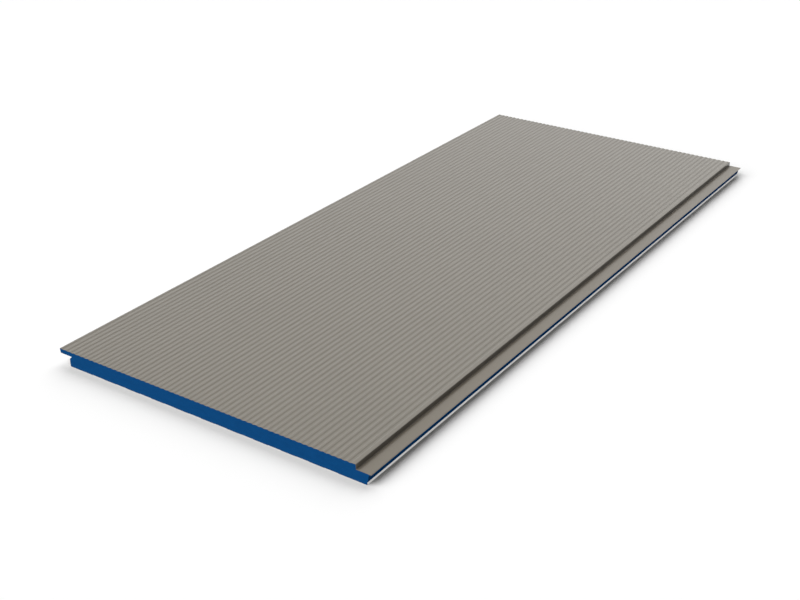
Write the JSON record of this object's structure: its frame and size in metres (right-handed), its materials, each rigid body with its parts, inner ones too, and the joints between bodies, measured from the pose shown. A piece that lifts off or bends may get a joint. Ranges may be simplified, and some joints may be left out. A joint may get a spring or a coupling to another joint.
{
  "type": "insulated sandwich panel",
  "caption": "Flat insulated wall panel: micro-ribbed steel face and steel liner bonded to a rigid foam core, with a lapping nose on one long edge and a stepped fixing ledge on the other.",
  "frame": {"origin": "on the ground, under the middle of the panel's overall length and width, as it lies with its weather face up", "axes": "+Y along the panel's length, +X from the nose edge to the ledge edge, +Z out of the weather face"},
  "size_m": [1.1978, 2.76, 0.053],
  "materials": {
    "face_coating": "satin warm grey coil coating on micro-ribbed galvanised steel",
    "core_foam": "matt blue rigid foam, sawn at both ends",
    "liner_coating": "satin off-white coil coating on galvanised steel"
  },
  "bodies": {
    "root": {"outer_face_sheet": "face_coating", "foam_core": "core_foam", "inner_liner_sheet": "liner_coating"}
  },
  "joints": []
}
